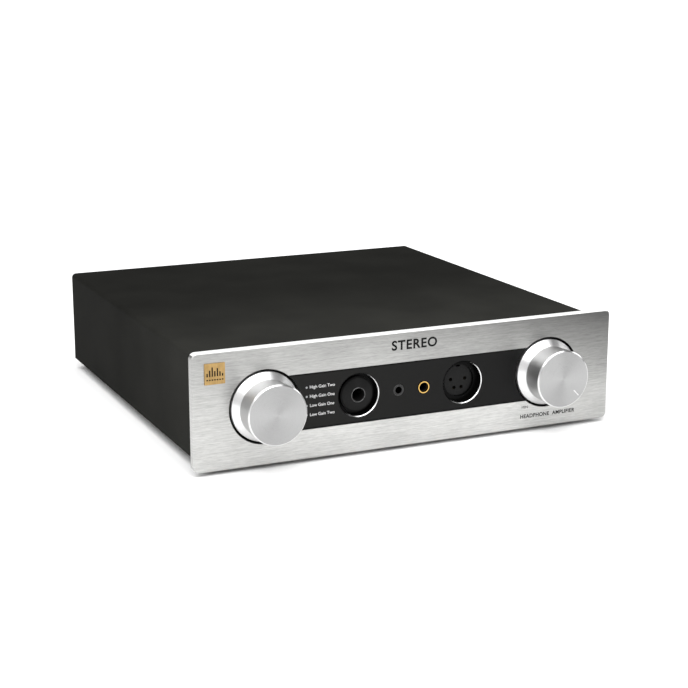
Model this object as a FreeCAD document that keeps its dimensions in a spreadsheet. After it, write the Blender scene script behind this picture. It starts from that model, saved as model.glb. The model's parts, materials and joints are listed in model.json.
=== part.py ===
import FreeCAD
import Part
import Sketcher
import os
import re
from FreeCAD import Placement, Rotation, Vector

# Desktop headphone amplifier: an aluminium front panel with two turned knobs and four
# headphone sockets, on a folded steel case that holds the supply and amplifier boards.
# +X is right, +Y is back and +Z is up.  The origin is on the floor under the feet, in the
# middle of the overall width and depth.  Everything is in millimetres.

doc = FreeCAD.newDocument("headphone_amplifier")
dims = doc.addObject("Spreadsheet::Sheet", "dims")

# Driving sizes: each can be set by itself.
SIZES = {
    # front panel
    "panel_overhang": 4.2, "panel_rise": 3.5, "panel_drop": 3.5, "panel_thickness": 4,
    "panel_corner": 3, "panel_chamfer": 0.5, "panel_screw_inset": 7, "panel_screw_margin": 5,
    # case of folded sheet
    "case_width": 220, "case_height": 51, "case_depth": 220.5, "sheet": 1.5,
    "bend_radius": 2.5, "seam_gap": 0.2, "lip_width": 9, "flange_depth": 11, "lip_margin": 8,
    "vent_left": -38.5, "vent_start": 64, "vent_length": 26, "vent_width": 3, "vent_pitch": 7,
    # feet
    "foot_height": 5.5, "foot_radius": 9, "foot_inset": 24, "foot_web": 2, "foot_edge": 0.8,
    # the line of controls
    "control_height": 28.7, "control_shift": -0.4, "knob_spacing": 154.8,
    "knob_radius": 14.8, "knob_neck": 14.2, "knob_reach": 16.2, "knob_chamfer": 0.6,
    "skirt_radius": 17.1, "skirt_length": 3.5, "knob_inset": 2.5, "knob_gap": 1.3,
    "knob_hollow": 8.2, "hollow_set": 2, "knob_bore_depth": 10, "grub_set": 7, "grub_length": 6,
    "mark_length": 4.3, "mark_width": 0.6, "mark_inset": 1.6, "mark_depth": 0.3,
    "shaft_radius": 3, "bush_radius": 4.5, "bush_end": 2, "nut_thickness": 2,
    "nut_radius": 6.9, "pot_size": 24, "switch_size": 22,
    # clearances
    "running_gap": 0.05, "slip": 0.1,
    # black strip and gold badge
    "strip_height": 28, "strip_recess": 1.5, "strip_set": 0.3, "badge_size": 10.1,
    "badge_thickness": 0.5, "badge_side": 6.2, "badge_top": 5.2,
    # headphone sockets: distances from the middle of the controls, radii and depths
    "large_jack_reach": -28.6, "small_jack_reach": -7, "balanced_jack_reach": 6.7,
    "front_xlr_reach": 28.6, "recess_radius": 11, "rim_wall": 0.4, "rim_depth": 1.2,
    "sleeve_wall": 0.5, "large_nose": 8.9, "large_bore": 3.2, "large_set": 2.2,
    "large_dome": 1.4, "large_lip": 3.9, "small_nose": 2.85, "small_bore": 1.8,
    "balanced_nose": 3, "balanced_bore": 2.25, "ring_wall": 0.5, "ring_stand": 0.2,
    "ring_depth": 1, "jack_body": 18, "small_body": 9, "tip_length": 3, "xlr_body": 22,
    "xlr_set": 5.3, "xlr_insert_radius": 8.1, "key_width": 2.2, "key_height": 1.2,
    "contact_circle": 4.4, "contact_bore": 0.95, "contact_set": 3,
    # mode lights
    "light_x": -56.4, "light_pitch": 4.57, "light_radius": 0.5, "led_size": 2,
    # boards and fasteners
    "board": 1.6, "front_board_gap": 28, "rear_board_gap": 16, "standoff": 6,
    "screw_radius": 1.5, "head_radius": 2.8, "head_height": 1.6, "pillar_radius": 3,
    "screw_bite": 2.5, "upright_half": 20, "board_overlap": 16, "pillar_inset": 16,
    "pillar_rise": 16, "rear_pillar_left": -43, "rear_pillar_right": 31,
    "rear_pillar_rise": 17, "rear_board_right": 35,
    "amplifier_right": 6, "board_gap": 3, "amplifier_front_gap": 10, "amplifier_back_gap": 6,
    "pillar_margin": 6, "relay_room": 20, "supply_side_margin": 4, "supply_end_margin": 5,
    # rear sockets
    "rear_reach": 9.5, "rear_middle": 26, "phono_x": -24, "phono_pitch": 20,
    "phono_spacing": 18, "phono_radius": 4.15, "phono_neck": 3.8, "phono_wall": 0.5,
    "phono_bore": 1.7, "phono_nut_radius": 6.5, "phono_nut_thickness": 2.2,
    "rear_xlr_inset": 19, "rear_xlr_pitch": 28.5, "rear_xlr_recess": 9.6,
    "rear_xlr_wall": 1, "rear_xlr_depth": 13, "line_pin_radius": 1.2,
    "line_flange_width": 26, "line_flange_height": 31, "line_flange": 2,
    "square_port_x": 6, "oval_port_x": 20, "port_drop": 5, "port_reach": 0.6,
    "port_back": 3, "square_port_width": 12, "square_port_height": 11,
    "square_mouth_width": 8.6, "square_mouth_height": 8, "oval_port_width": 9,
    "oval_port_height": 3.4, "oval_mouth_width": 8.2, "oval_mouth_height": 2.6,
    "inlet_x": 80, "inlet_width": 27, "inlet_height": 31, "inlet_depth": 30,
    "inlet_flange": 2.5, "inlet_border": 4, "inlet_margin": 2, "plug_width": 24.6,
    "plug_height": 16.4, "plug_depth": 17, "blade_pitch": 7, "blade_width": 2,
    "blade_height": 4, "drawer_width": 22, "drawer_height": 7.5, "drawer_depth": 24,
    "drawer_stand": 1.2, "fuse_radius": 2.5, "fuse_length": 20, "fuse_spacing": 5,
    "rocker_x": 46, "rocker_width": 11, "rocker_height": 16, "rocker_swing": 10,
    "rocker_pin": 1.2, "rocker_set": 3, "rocker_depth": 16, "rocker_flange": 1.6,
    # power supply
    "toroid_radius": 36, "toroid_hole": 12, "toroid_height": 32, "toroid_x": 60,
    "toroid_y": 90, "pad_thickness": 1.5, "bolt_radius": 3, "can_radius": 9,
    "can_height": 30, "can_gap": 2,
    # parts on the amplifier board
    "fin_pitch": 5, "fin": 1.6, "sink_back": 3, "device_width": 10, "device_depth": 4.6,
    "device_height": 15, "small_can_radius": 5, "small_can_height": 16, "card_length": 44,
    "card_height": 24, "relay_width": 10, "relay_length": 20,
}

# Places that follow from the sizes.
PLACES = {
    "panel_width": "case_width + 2 * panel_overhang",
    "panel_height": "case_height + panel_drop + panel_rise",
    "front": "knob_reach - (knob_reach + panel_thickness + case_depth + rear_reach) / 2",
    "case_front": "front + panel_thickness",
    "case_back": "case_front + case_depth",
    "bracket_back": "case_front + sheet",
    "rear_inside": "case_back - sheet",
    "case_side": "case_width / 2",
    "inner_side": "case_side - sheet - seam_gap",
    "inner_floor": "foot_height + sheet",
    "case_top": "foot_height + case_height",
    "inner_top": "case_top - sheet - seam_gap",
    "panel_base": "foot_height - panel_drop",
    "axis_z": "panel_base + control_height",
    "mode_x": "control_shift - knob_spacing / 2",
    "volume_x": "control_shift + knob_spacing / 2",
    "knob_hole": "skirt_radius + knob_gap",
    "large_jack_x": "control_shift + large_jack_reach",
    "small_jack_x": "control_shift + small_jack_reach",
    "balanced_jack_x": "control_shift + balanced_jack_reach",
    "front_xlr_x": "control_shift + front_xlr_reach",
    "strip_floor": "front + strip_recess",
    "front_board_y": "bracket_back + front_board_gap",
    "rear_board_y": "rear_inside - rear_board_gap",
    "rear_z": "foot_height + rear_middle",
    "board_z": "inner_floor + standoff",
    "board_top": "board_z + board",
    "screw_hole": "screw_radius + slip",
    "bush_hole": "bush_radius + slip",
    "rear_port_z": "rear_z - port_drop",
    "line_left_x": "-inner_side + rear_xlr_inset",
    "line_right_x": "line_left_x + rear_xlr_pitch",
    "amplifier_left": "-inner_side + lip_width + board_gap",
    "amplifier_front": "front_board_y + amplifier_front_gap",
    "amplifier_back": "rear_board_y - amplifier_back_gap",
    "toroid_middle": "case_front + toroid_y",
    "supply_left": "toroid_x - toroid_radius - supply_side_margin",
    "supply_right": "inner_side - lip_width - board_gap",
    "supply_front": "toroid_middle + toroid_radius + amplifier_back_gap",
    "supply_back": "rear_inside - inlet_depth - board_gap",
}


def fill_sheet():
    """Write every size and place into the sheet, each with its name as an alias."""
    for row, (name, size) in enumerate(list(SIZES.items()) + list(PLACES.items()), start=1):
        dims.set(f"A{row}", name)
        text = f"={size}" if name in PLACES else str(size)
        dims.set(f"B{row}", text)
        dims.setAlias(f"B{row}", name)
    doc.recompute()


def formula(text):
    """Turn words that name a cell into references to the sheet."""
    def refer(match):
        word = match.group(0)
        return f"dims.{word}" if word in SIZES or word in PLACES else word
    return re.sub(r"[a-z]\w*", refer, str(text))


def size_of(text):
    """The present value of an expression, as a plain number."""
    return float(dims.evalExpression(formula(text)))


def bind(piece, **expressions):
    for prop, text in expressions.items():
        piece.setExpression(prop.replace("_", "."), formula(text))


def place(piece, x, y, z):
    bind(piece, Placement_Base_x=x, Placement_Base_y=y, Placement_Base_z=z)
    return piece


TURNS = {
    "+z": Rotation(), "-z": Rotation(Vector(1, 0, 0), 180),
    "+y": Rotation(Vector(1, 0, 0), -90), "-y": Rotation(Vector(1, 0, 0), 90),
    "+x": Rotation(Vector(0, 1, 0), 90),
}


def box(x, y, z, width, depth, height):
    """A block from its lowest corner."""
    piece = doc.addObject("Part::Box", "block")
    bind(piece, Length=width, Width=depth, Height=height)
    return place(piece, x, y, z)


def middle_box(x, y, z, width, depth, height):
    """A block whose middle is at x and z, and whose front face is at y."""
    return box(f"{x} - ({width}) / 2", y, f"{z} - ({height}) / 2", width, depth, height)


def rod(x, y, z, radius, length, axis="+y"):
    piece = doc.addObject("Part::Cylinder", "rod")
    piece.Placement = Placement(Vector(), TURNS[axis])
    bind(piece, Radius=radius, Height=length)
    return place(piece, x, y, z)


def cone(x, y, z, radius, far_radius, length):
    """A cone along +Y, with its first radius at the point."""
    piece = doc.addObject("Part::Cone", "cone")
    piece.Placement = Placement(Vector(), TURNS["+y"])
    bind(piece, Radius1=radius, Radius2=far_radius, Height=length)
    return place(piece, x, y, z)


def hexagon(x, y, z, radius, length, axis="+y"):
    piece = doc.addObject("Part::Prism", "hexagon")
    piece.Placement = Placement(Vector(), TURNS[axis])
    bind(piece, Circumradius=radius, Height=length)
    return place(piece, x, y, z)


def fuse(*pieces):
    joined = doc.addObject("Part::MultiFuse", "joined")
    joined.Shapes = list(pieces)
    return joined


def group(pieces):
    """Separate solids that share one node."""
    kept = doc.addObject("Part::Compound", "set")
    kept.Links = list(pieces)
    return kept


def cut(base, *tools):
    piece = doc.addObject("Part::Cut", "cut")
    piece.Base = base
    piece.Tool = tools[0] if len(tools) == 1 else fuse(*tools)
    return piece


PIECES = []


def node(label, piece):
    """Name a finished sub-part and keep it for the hand-over."""
    piece.Label = label
    PIECES.append(piece)
    return piece


# ---- sketched features -------------------------------------------------------------


def new_body(name):
    return doc.addObject("PartDesign::Body", f"{name}_body")


def origin_plane(body, role):
    return next(item for item in body.Origin.OriginFeatures if item.Role == role)


def draw_polygon(sketch, points):
    """A closed outline whose corners are bound to the sheet."""
    first = sketch.GeometryCount
    spots = [Vector(size_of(u), size_of(v), 0) for u, v in points]
    count = len(spots)
    for index in range(count):
        sketch.addGeometry(Part.LineSegment(spots[index], spots[(index + 1) % count]), False)
    for index in range(count):
        line = first + index
        after = first + (index + 1) % count
        sketch.addConstraint(Sketcher.Constraint("Coincident", line, 2, after, 1))
    for index, (u, v) in enumerate(points):
        for kind, text in (("DistanceX", u), ("DistanceY", v)):
            rule = Sketcher.Constraint(kind, -1, 1, first + index, 1, size_of(text))
            number = sketch.addConstraint(rule)
            sketch.setExpression(f"Constraints[{number}]", formula(text))


def draw_circle(sketch, u, v, radius):
    circle = sketch.GeometryCount
    centre = Vector(size_of(u), size_of(v), 0)
    sketch.addGeometry(Part.Circle(centre, Vector(0, 0, 1), size_of(radius)), False)
    rules = (
        ("DistanceX", -1, 1, circle, 3, u),
        ("DistanceY", -1, 1, circle, 3, v),
        ("Radius", circle, radius),
    )
    for *parts, text in rules:
        number = sketch.addConstraint(Sketcher.Constraint(*parts, size_of(text)))
        sketch.setExpression(f"Constraints[{number}]", formula(text))


def new_sketch(body, role, offset, outlines):
    """Outlines are lists of corners, or circles given as a tuple (u, v, radius)."""
    sketch = body.newObject("Sketcher::SketchObject", f"{body.Name}_sketch")
    sketch.AttachmentSupport = (origin_plane(body, role), [""])
    sketch.MapMode = "FlatFace"
    sign = "-1 * " if role == "XZ_Plane" else ""
    sketch.setExpression("AttachmentOffset.Base.z", formula(f"{sign}({offset})"))
    for outline in outlines:
        if isinstance(outline, tuple):
            draw_circle(sketch, *outline)
        else:
            draw_polygon(sketch, outline)
    return sketch


def rectangle(left, low, right, high):
    return [(left, low), (right, low), (right, high), (left, high)]


def clipped_web():
    """Outline of a plate inside the cover, its top corners clipped to clear the bends."""
    clip = "bend_radius"
    return [("-inner_side", "inner_floor"), ("inner_side", "inner_floor"),
            ("inner_side", f"inner_top - {clip}"), (f"inner_side - {clip}", "inner_top"),
            (f"-inner_side + {clip}", "inner_top"), ("-inner_side", f"inner_top - {clip}")]


def pad(body, role, offset, length, outlines):
    """A pad grows towards +Y from an XZ plane and towards +Z from an XY plane."""
    feature = body.newObject("PartDesign::Pad", f"{body.Name}_pad")
    feature.Profile = new_sketch(body, role, offset, outlines)
    feature.Reversed = role == "XZ_Plane"
    bind(feature, Length=length)
    doc.recompute()
    return feature


def pocket(body, role, offset, length, outlines):
    """A pocket cuts the same way as a pad grows; the solid has to get smaller."""
    before = body.Shape.Volume
    feature = body.newObject("PartDesign::Pocket", f"{body.Name}_pocket")
    feature.Profile = new_sketch(body, role, offset, outlines)
    feature.Reversed = role != "XZ_Plane"
    bind(feature, Length=length)
    doc.recompute()
    if body.Shape.Volume >= before:
        raise ValueError(f"{feature.Name} cuts nothing")
    return feature


def soften(body, kind, size_name, test):
    """Fillet or chamfer the edges of the body's tip that pass the test."""
    base = body.Tip
    names = [f"Edge{i}" for i, edge in enumerate(base.Shape.Edges, start=1) if test(edge)]
    feature = body.newObject(f"PartDesign::{kind}", f"{body.Name}_{kind.lower()}")
    feature.Base = (base, names)
    bind(feature, **{"Radius" if kind == "Fillet" else "Size": size_name})
    doc.recompute()
    return feature


def turned(name, outline, x, y, z, upright=False):
    """A turned piece: corners are (radius, distance along +Y, or +Z when upright)."""
    body = new_body(name)
    feature = body.newObject("PartDesign::Revolution", f"{name}_turn")
    sketch = new_sketch(body, "XZ_Plane" if upright else "XY_Plane", 0, [outline])
    feature.Profile = sketch
    feature.ReferenceAxis = (sketch, ["V_Axis"])
    feature.Angle = 360
    return place(body, x, y, z)


def runs_along(edge, direction, spot, reach=0.01):
    """True for a straight edge along direction that passes the spot, None = anywhere."""
    if edge.Curve.TypeId != "Part::GeomLine":
        return False
    start, end = edge.Vertexes[0].Point, edge.Vertexes[-1].Point
    step = (end - start).normalize()
    if abs(abs(step.dot(direction)) - 1) > 1e-6:
        return False
    pairs = zip(start, spot)
    return all(want is None or abs(have - want) < reach for have, want in pairs)


# ---- fasteners -----------------------------------------------------------------------


def screw(x, y, z, axis, length):
    """A socket screw: its head's seat is at the point and its shank runs along axis."""
    back = {"+z": "-z", "-z": "+z", "+y": "-y", "-y": "+y"}[axis]
    shank = rod(x, y, z, "screw_radius", length, axis)
    head = rod(x, y, z, "head_radius", "head_height", back)
    sign = "-" if axis[0] == "+" else "+"
    start = {"y": (x, f"{y} {sign} head_height * 0.4", z),
             "z": (x, y, f"{z} {sign} head_height * 0.4")}[axis[1]]
    socket = hexagon(*start, "screw_radius * 0.8", "head_height", back)
    return cut(fuse(shank, head), socket)


# ---- front panel ---------------------------------------------------------------------


LIGHTS = 4


def light_heights():
    """The lights stand in a column, evenly about the axis of the controls."""
    return [f"axis_z + {(LIGHTS - 1) / 2 - step} * light_pitch" for step in range(LIGHTS)]


def socket_holes(large, small, balanced, xlr, light):
    """Round holes for the four sockets and the four lights, each with its own radius."""
    holes = [
        ("large_jack_x", "axis_z", large), ("small_jack_x", "axis_z", small),
        ("balanced_jack_x", "axis_z", balanced), ("front_xlr_x", "axis_z", xlr),
    ]
    return holes + [("light_x", height, light) for height in light_heights()]


def panel_screw_spots():
    """Screws that hold the panel from behind, clear of the controls."""
    columns = ("-inner_side + panel_screw_inset", "0", "inner_side - panel_screw_inset")
    rows = ("inner_floor + panel_screw_margin", "inner_top - panel_screw_margin")
    return [(x, z) for x in columns for z in rows]


def make_front_panel():
    body = new_body("front_panel")
    half = "panel_width / 2"
    outline = rectangle(f"-{half}", "panel_base", half, "panel_base + panel_height")
    pad(body, "XZ_Plane", "front", "panel_thickness", [outline])
    strip = rectangle("mode_x", "axis_z - strip_height / 2",
                      "volume_x", "axis_z + strip_height / 2")
    pocket(body, "XZ_Plane", "front", "strip_recess", [strip])
    holes = socket_holes("recess_radius", "small_nose + slip", "balanced_nose + slip",
                         "recess_radius", "light_radius + slip")
    pocket(body, "XZ_Plane", "strip_floor", "panel_thickness", holes)
    knobs = [(x, "axis_z", "knob_hole") for x in ("mode_x", "volume_x")]
    pocket(body, "XZ_Plane", "front", "panel_thickness", knobs)
    threads = [(x, z, "screw_hole") for x, z in panel_screw_spots()]
    pocket(body, "XZ_Plane", "strip_floor", "panel_thickness", threads)
    side, low = size_of(half), size_of("panel_base")
    high, face = low + size_of("panel_height"), size_of("front")
    along = Vector(0, 1, 0)
    soften(body, "Fillet", "panel_corner", lambda edge: any(
        runs_along(edge, along, (x, None, z)) for x in (-side, side) for z in (low, high)))

    def rims_front(edge):
        middle = edge.valueAt((edge.FirstParameter + edge.LastParameter) / 2)
        corner = size_of("panel_corner")
        outside = abs(middle.x) > side - corner or not low + corner < middle.z < high - corner
        return outside and all(abs(point.Point.y - face) < 0.01 for point in edge.Vertexes)
    soften(body, "Chamfer", "panel_chamfer", rims_front)
    node("front_panel", body)


def make_strip():
    """Black strip, let into the panel between the knobs."""
    body = new_body("strip")
    half = "strip_height / 2 - slip"
    outline = rectangle("mode_x", f"axis_z - ({half})", "volume_x", f"axis_z + {half}")
    pad(body, "XZ_Plane", "front + strip_set", "strip_recess - strip_set", [outline])
    holes = socket_holes("recess_radius", "small_nose + slip", "balanced_nose + slip",
                         "recess_radius", "light_radius + slip")
    pocket(body, "XZ_Plane", "front", "panel_thickness", holes)
    for x in ("mode_x", "volume_x"):
        pocket(body, "XZ_Plane", "front", "panel_thickness", [(x, "axis_z", "knob_hole")])
    node("display_strip", body)


def make_linings():
    """Each large recess has a bright turned rim at its mouth and a black sleeve behind."""
    outer, inner = "recess_radius - running_gap", "recess_radius - rim_wall"
    rim = [(inner, "rim_wall"), (outer, "0"), (outer, "rim_depth"), (inner, "rim_depth")]
    start = "strip_set / 2 + rim_depth"
    outside = "recess_radius - slip"
    inside = f"{outside} - sleeve_wall"
    sleeve = [(inside, start), (outside, start), (outside, "panel_thickness"),
              (inside, "panel_thickness")]
    recesses = (("left", "large_jack_x"), ("right", "front_xlr_x"))
    rims = [turned(f"rim_{side}", rim, x, "front + strip_set / 2", "axis_z")
            for side, x in recesses]
    node("socket_rims", group(rims))
    sleeves = [turned(f"sleeve_{side}", sleeve, x, "front", "axis_z") for side, x in recesses]
    node("socket_sleeves", group(sleeves))


def make_badge():
    x = "-panel_width / 2 + badge_side"
    z = "panel_base + panel_height - badge_top - badge_size"
    badge = box(x, "front - badge_thickness", z, "badge_size", "badge_thickness", "badge_size")
    node("front_badge", badge)


def make_front_bracket():
    """Folded steel plate behind the panel: it carries the controls and the sockets."""
    body = new_body("front_bracket")
    pad(body, "XZ_Plane", "case_front", "sheet", [clipped_web()])
    flange = rectangle("-inner_side", "case_front", "inner_side", "case_front + flange_depth")
    pad(body, "XY_Plane", "inner_floor", "sheet", [flange])
    holes = socket_holes("large_nose + slip", "small_nose + slip", "balanced_nose + slip",
                         "xlr_insert_radius + slip", "light_radius + slip")
    holes += [(x, "axis_z", "bush_hole") for x in ("mode_x", "volume_x")]
    holes += [(x, z, "screw_hole") for x, z in panel_screw_spots() + front_pillar_spots()]
    pocket(body, "XZ_Plane", "case_front", "sheet", holes)
    spots = [(x, y, "screw_hole") for x, y in flange_screw_spots("case_front + flange_depth / 2")]
    pocket(body, "XY_Plane", "inner_floor", "sheet", spots)
    node("front_bracket", body)


def flange_screw_spots(y):
    return [("-inner_side * 0.8", y), ("0", y), ("inner_side * 0.8", y)]


def front_pillar_spots():
    """Pillars that carry the front board, in the gaps between the controls."""
    columns = ("mode_x + pillar_inset", "volume_x - pillar_inset")
    return [(x, z) for x in columns for z in ("axis_z - pillar_rise", "axis_z + pillar_rise")]


def make_panel_screws():
    screws = [screw(x, "bracket_back", z, "-y", "sheet + panel_thickness - strip_recess - slip")
              for x, z in panel_screw_spots()]
    node("panel_screws", group(screws))


# ---- knobs and their shafts ------------------------------------------------------------


def knob_body(name, x):
    """Turned knob: a flared skirt in the panel's hole, a tapered barrel and a flat face."""
    bore = "shaft_radius + running_gap"
    face = "-knob_reach"
    outline = [
        (bore, "-hollow_set"), ("knob_hollow", "-hollow_set"), ("knob_hollow", "knob_inset"),
        ("skirt_radius", "knob_inset"), ("skirt_radius", "0"), ("knob_neck", "-skirt_length"),
        ("knob_radius", f"{face} + knob_chamfer"), ("knob_radius - knob_chamfer", face),
        ("0", face), ("0", "-knob_bore_depth"), (bore, "-knob_bore_depth"),
    ]
    return turned(name, outline, x, "front", "axis_z")


def make_control(name, x, body_size, body_name):
    """A knob with its set screw and shaft, and the control behind the panel."""
    knob = knob_body(f"{name}_knob", x)
    grub_y = "front - grub_set"
    thread = rod(x, grub_y, "axis_z", "screw_radius + slip / 2", "knob_radius + 1", "-z")
    tools = [thread]
    if name == "volume":
        tools.append(pointer_groove(x))
    node(f"{name}_knob", cut(knob, *tools))
    grub_z = "axis_z - shaft_radius - running_gap"
    grub = rod(x, grub_y, grub_z, "screw_radius", "grub_length", "-z")
    drive = hexagon(x, grub_y, f"{grub_z} - grub_length * 0.75", "screw_radius * 0.6",
                    "grub_length / 2", "-z")
    node(f"{name}_set_screw", cut(grub, drive))
    reach = "panel_thickness + sheet + front_board_gap / 2"
    shaft = rod(x, "front - knob_bore_depth + running_gap", "axis_z", "shaft_radius",
                f"knob_bore_depth - running_gap + {reach}")
    node(f"{name}_shaft", shaft)
    block = middle_box(x, "bracket_back", "axis_z", body_size, "front_board_gap", body_size)
    bush = rod(x, "case_front - nut_thickness - bush_end", "axis_z", "bush_radius",
               "bush_end + nut_thickness + sheet + 1")
    bore = rod(x, "front", "axis_z", "shaft_radius + running_gap", f"{reach} + slip")
    node(f"{name}_{body_name}", cut(fuse(block, bush), bore))


def make_control_nuts():
    nuts = []
    for x in ("mode_x", "volume_x"):
        nut = hexagon(x, "case_front - nut_thickness", "axis_z", "nut_radius", "nut_thickness")
        hole = rod(x, "front", "axis_z", "bush_radius + running_gap", "panel_thickness")
        nuts.append(cut(nut, hole))
    node("control_nuts", group(nuts))


MARK_TURN = 135


def pointer_groove(x):
    """Groove in the knob's face, turned clockwise from the top."""
    groove = doc.addObject("Part::Box", "groove")
    groove.Placement = Placement(Vector(), Rotation(Vector(0, 1, 0), MARK_TURN))
    bind(groove, Length="mark_width", Width="2 * mark_depth", Height="mark_length")
    inner = "(knob_radius - mark_inset - mark_length)"
    across, down = f"sin({MARK_TURN})", f"cos({MARK_TURN})"
    return place(groove, f"{x} + {inner} * {across} - mark_width / 2 * {down}",
                 "front - knob_reach - mark_depth",
                 f"axis_z + {inner} * {down} + mark_width / 2 * {across}")


# ---- headphone sockets -----------------------------------------------------------------


def make_jack(label, x, nose, bore, body_size, nose_y, *fronts):
    """A panel jack: a round nose through the bracket on a block that meets the board."""
    block = middle_box(x, "bracket_back", "axis_z", body_size, "front_board_gap", body_size)
    tube = rod(x, nose_y, "axis_z", nose, f"bracket_back - ({nose_y}) + 1")
    hole = rod(x, "front - 1", "axis_z", bore, "front_board_y - tip_length - front + 1")
    well = rod(x, "front_board_y - tip_length - 1", "axis_z", f"{bore} / 2 + slip",
               "tip_length + 2")
    node(label, cut(fuse(block, tube, *fronts), hole, well))
    return rod(x, "front_board_y - tip_length", "axis_z", f"{bore} / 2", "tip_length")


def make_jacks():
    """Jacks for three plug sizes; the large one has a shallow dome round its bore."""
    dome = cone("large_jack_x", "front + large_set - large_dome", "axis_z",
                "large_lip", "large_nose", "large_dome")
    contacts = [
        make_jack("large_jack", "large_jack_x", "large_nose", "large_bore", "jack_body",
                  "front + large_set", dome),
        make_jack("small_jack", "small_jack_x", "small_nose", "small_bore", "small_body",
                  "front + strip_set"),
        make_jack("balanced_jack", "balanced_jack_x", "balanced_nose", "balanced_bore",
                  "small_body", "front + strip_set + ring_depth"),
    ]
    node("jack_contacts", group(contacts))
    inner = "balanced_nose - ring_wall"
    start = "-strip_set - ring_stand"
    ring = [(inner, start), ("balanced_nose", start), ("balanced_nose", "ring_depth"),
            (inner, "ring_depth")]
    node("balanced_jack_ring",
         turned("balanced_ring", ring, "balanced_jack_x", "front + strip_set", "axis_z"))


def xlr_spots():
    """Four contacts on a circle, two each side, the upper pair wide and the lower close."""
    wide, narrow = 0.92, 0.46
    high, low = 0.12, -0.86
    return [(f"front_xlr_x + {u} * contact_circle", f"axis_z + {v} * contact_circle")
            for u, v in ((-wide, high), (wide, high), (-narrow, low), (narrow, low))]


def make_front_xlr():
    """Four-contact balanced socket: an insert with a keyway, on a block, and its contacts."""
    block = middle_box("front_xlr_x", "bracket_back", "axis_z", "xlr_body",
                       "front_board_gap", "xlr_body")
    disc = rod("front_xlr_x", "front + xlr_set", "axis_z", "xlr_insert_radius",
               "bracket_back - front - xlr_set + 1")
    holes = [rod(x, "front", z, "contact_bore", "front_board_y - front + 1")
             for x, z in xlr_spots()]
    key = middle_box("front_xlr_x", "front", "axis_z + xlr_insert_radius - key_height / 2",
                     "key_width", "xlr_set + contact_set", "key_height")
    node("front_xlr_insert", cut(fuse(block, disc), key, *holes))
    contacts = [rod(x, "front + xlr_set + contact_set", z, "contact_bore - slip",
                    "front_board_y - front - xlr_set - contact_set") for x, z in xlr_spots()]
    node("front_xlr_contacts", group(contacts))


def make_lights():
    start = "front + strip_set"
    length = "front_board_y - led_size - front - strip_set"
    pipes = [rod("light_x", start, z, "light_radius", length) for z in light_heights()]
    node("light_pipes", group(pipes))
    leds = [middle_box("light_x", "front_board_y - led_size", z, "led_size", "led_size",
                       "led_size") for z in light_heights()]
    node("mode_lights", group(leds))


# ---- case ------------------------------------------------------------------------------


def make_cover():
    """Top and sides folded from one sheet, with a lip at the foot of each side."""
    body = new_body("cover")
    side, wall = "case_side", "case_side - sheet"
    roof = "case_top - sheet"
    outline = [
        (f"-{side}", "inner_floor"), (f"-({wall})", "inner_floor"), (f"-({wall})", roof),
        (wall, roof), (wall, "inner_floor"), (side, "inner_floor"), (side, "case_top"),
        (f"-{side}", "case_top"),
    ]
    pad(body, "XZ_Plane", "case_front", "case_depth", [outline])
    start, end = "case_front + 2 * flange_depth", "case_back - 2 * flange_depth"
    left = rectangle(f"-({wall})", start, f"-({wall}) + lip_width", end)
    right = rectangle(f"{wall} - lip_width", start, wall, end)
    pad(body, "XY_Plane", "inner_floor", "sheet", [left])
    pad(body, "XY_Plane", "inner_floor", "sheet", [right])
    holes = [(x, y, "screw_hole") for x, y in lip_screw_spots()]
    pocket(body, "XY_Plane", "inner_floor", "sheet", holes)
    along = Vector(0, 1, 0)
    x_out, z_out = size_of(side), size_of("case_top")
    x_in, z_in = size_of(wall), size_of(roof)
    soften(body, "Fillet", "bend_radius", lambda edge: any(
        runs_along(edge, along, (x, None, z_out)) for x in (-x_out, x_out)))
    soften(body, "Fillet", "bend_radius - sheet", lambda edge: any(
        runs_along(edge, along, (x, None, z_in)) for x in (-x_in, x_in)))
    node("top_cover", body)


def lip_screw_spots():
    x = "case_side - sheet - lip_width / 2"
    start = "case_front + 2 * flange_depth + lip_margin"
    run = "case_depth - 4 * flange_depth - 2 * lip_margin"
    return [(f"{sign}({x})", f"{start} + {share} * ({run})")
            for sign in ("-", "") for share in (0, 0.5, 1)]


def foot_spots():
    x = "case_side - foot_inset"
    return [(f"{sign}({x})", y) for sign in ("-", "")
            for y in ("case_front + foot_inset", "case_back - foot_inset")]


def amplifier_pillar_spots():
    return [(x, y) for x in ("amplifier_left + pillar_margin", "amplifier_right - pillar_margin")
            for y in ("amplifier_front + pillar_margin", "amplifier_back - relay_room")]


def supply_pillar_spots():
    columns = ("supply_left + supply_side_margin", "supply_right - supply_side_margin")
    rows = ("supply_front + supply_end_margin", "supply_back - supply_end_margin")
    return [(x, y) for x in columns for y in rows]


VENTS = 10


def make_tray():
    """Bottom plate with vent slots, holes for its screws and for the transformer bolt."""
    body = new_body("tray")
    outline = rectangle("-case_side", "case_front", "case_side", "case_back")
    pad(body, "XY_Plane", "foot_height", "sheet", [outline])
    spots = lip_screw_spots() + foot_spots() + amplifier_pillar_spots() + supply_pillar_spots()
    spots += flange_screw_spots("case_front + flange_depth / 2")
    spots += flange_screw_spots("case_back - flange_depth / 2")
    holes = [(x, y, "screw_hole") for x, y in spots]
    holes.append(("toroid_x", "toroid_middle", "bolt_radius + slip"))
    pocket(body, "XY_Plane", "foot_height", "sheet", holes)
    start = "case_front + vent_start"
    slots = [rectangle(f"vent_left + {step} * vent_pitch", start,
                       f"vent_left + {step} * vent_pitch + vent_width", f"{start} + vent_length")
             for step in range(VENTS)]
    pocket(body, "XY_Plane", "foot_height", "sheet", slots)
    node("base_tray", body)


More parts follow.
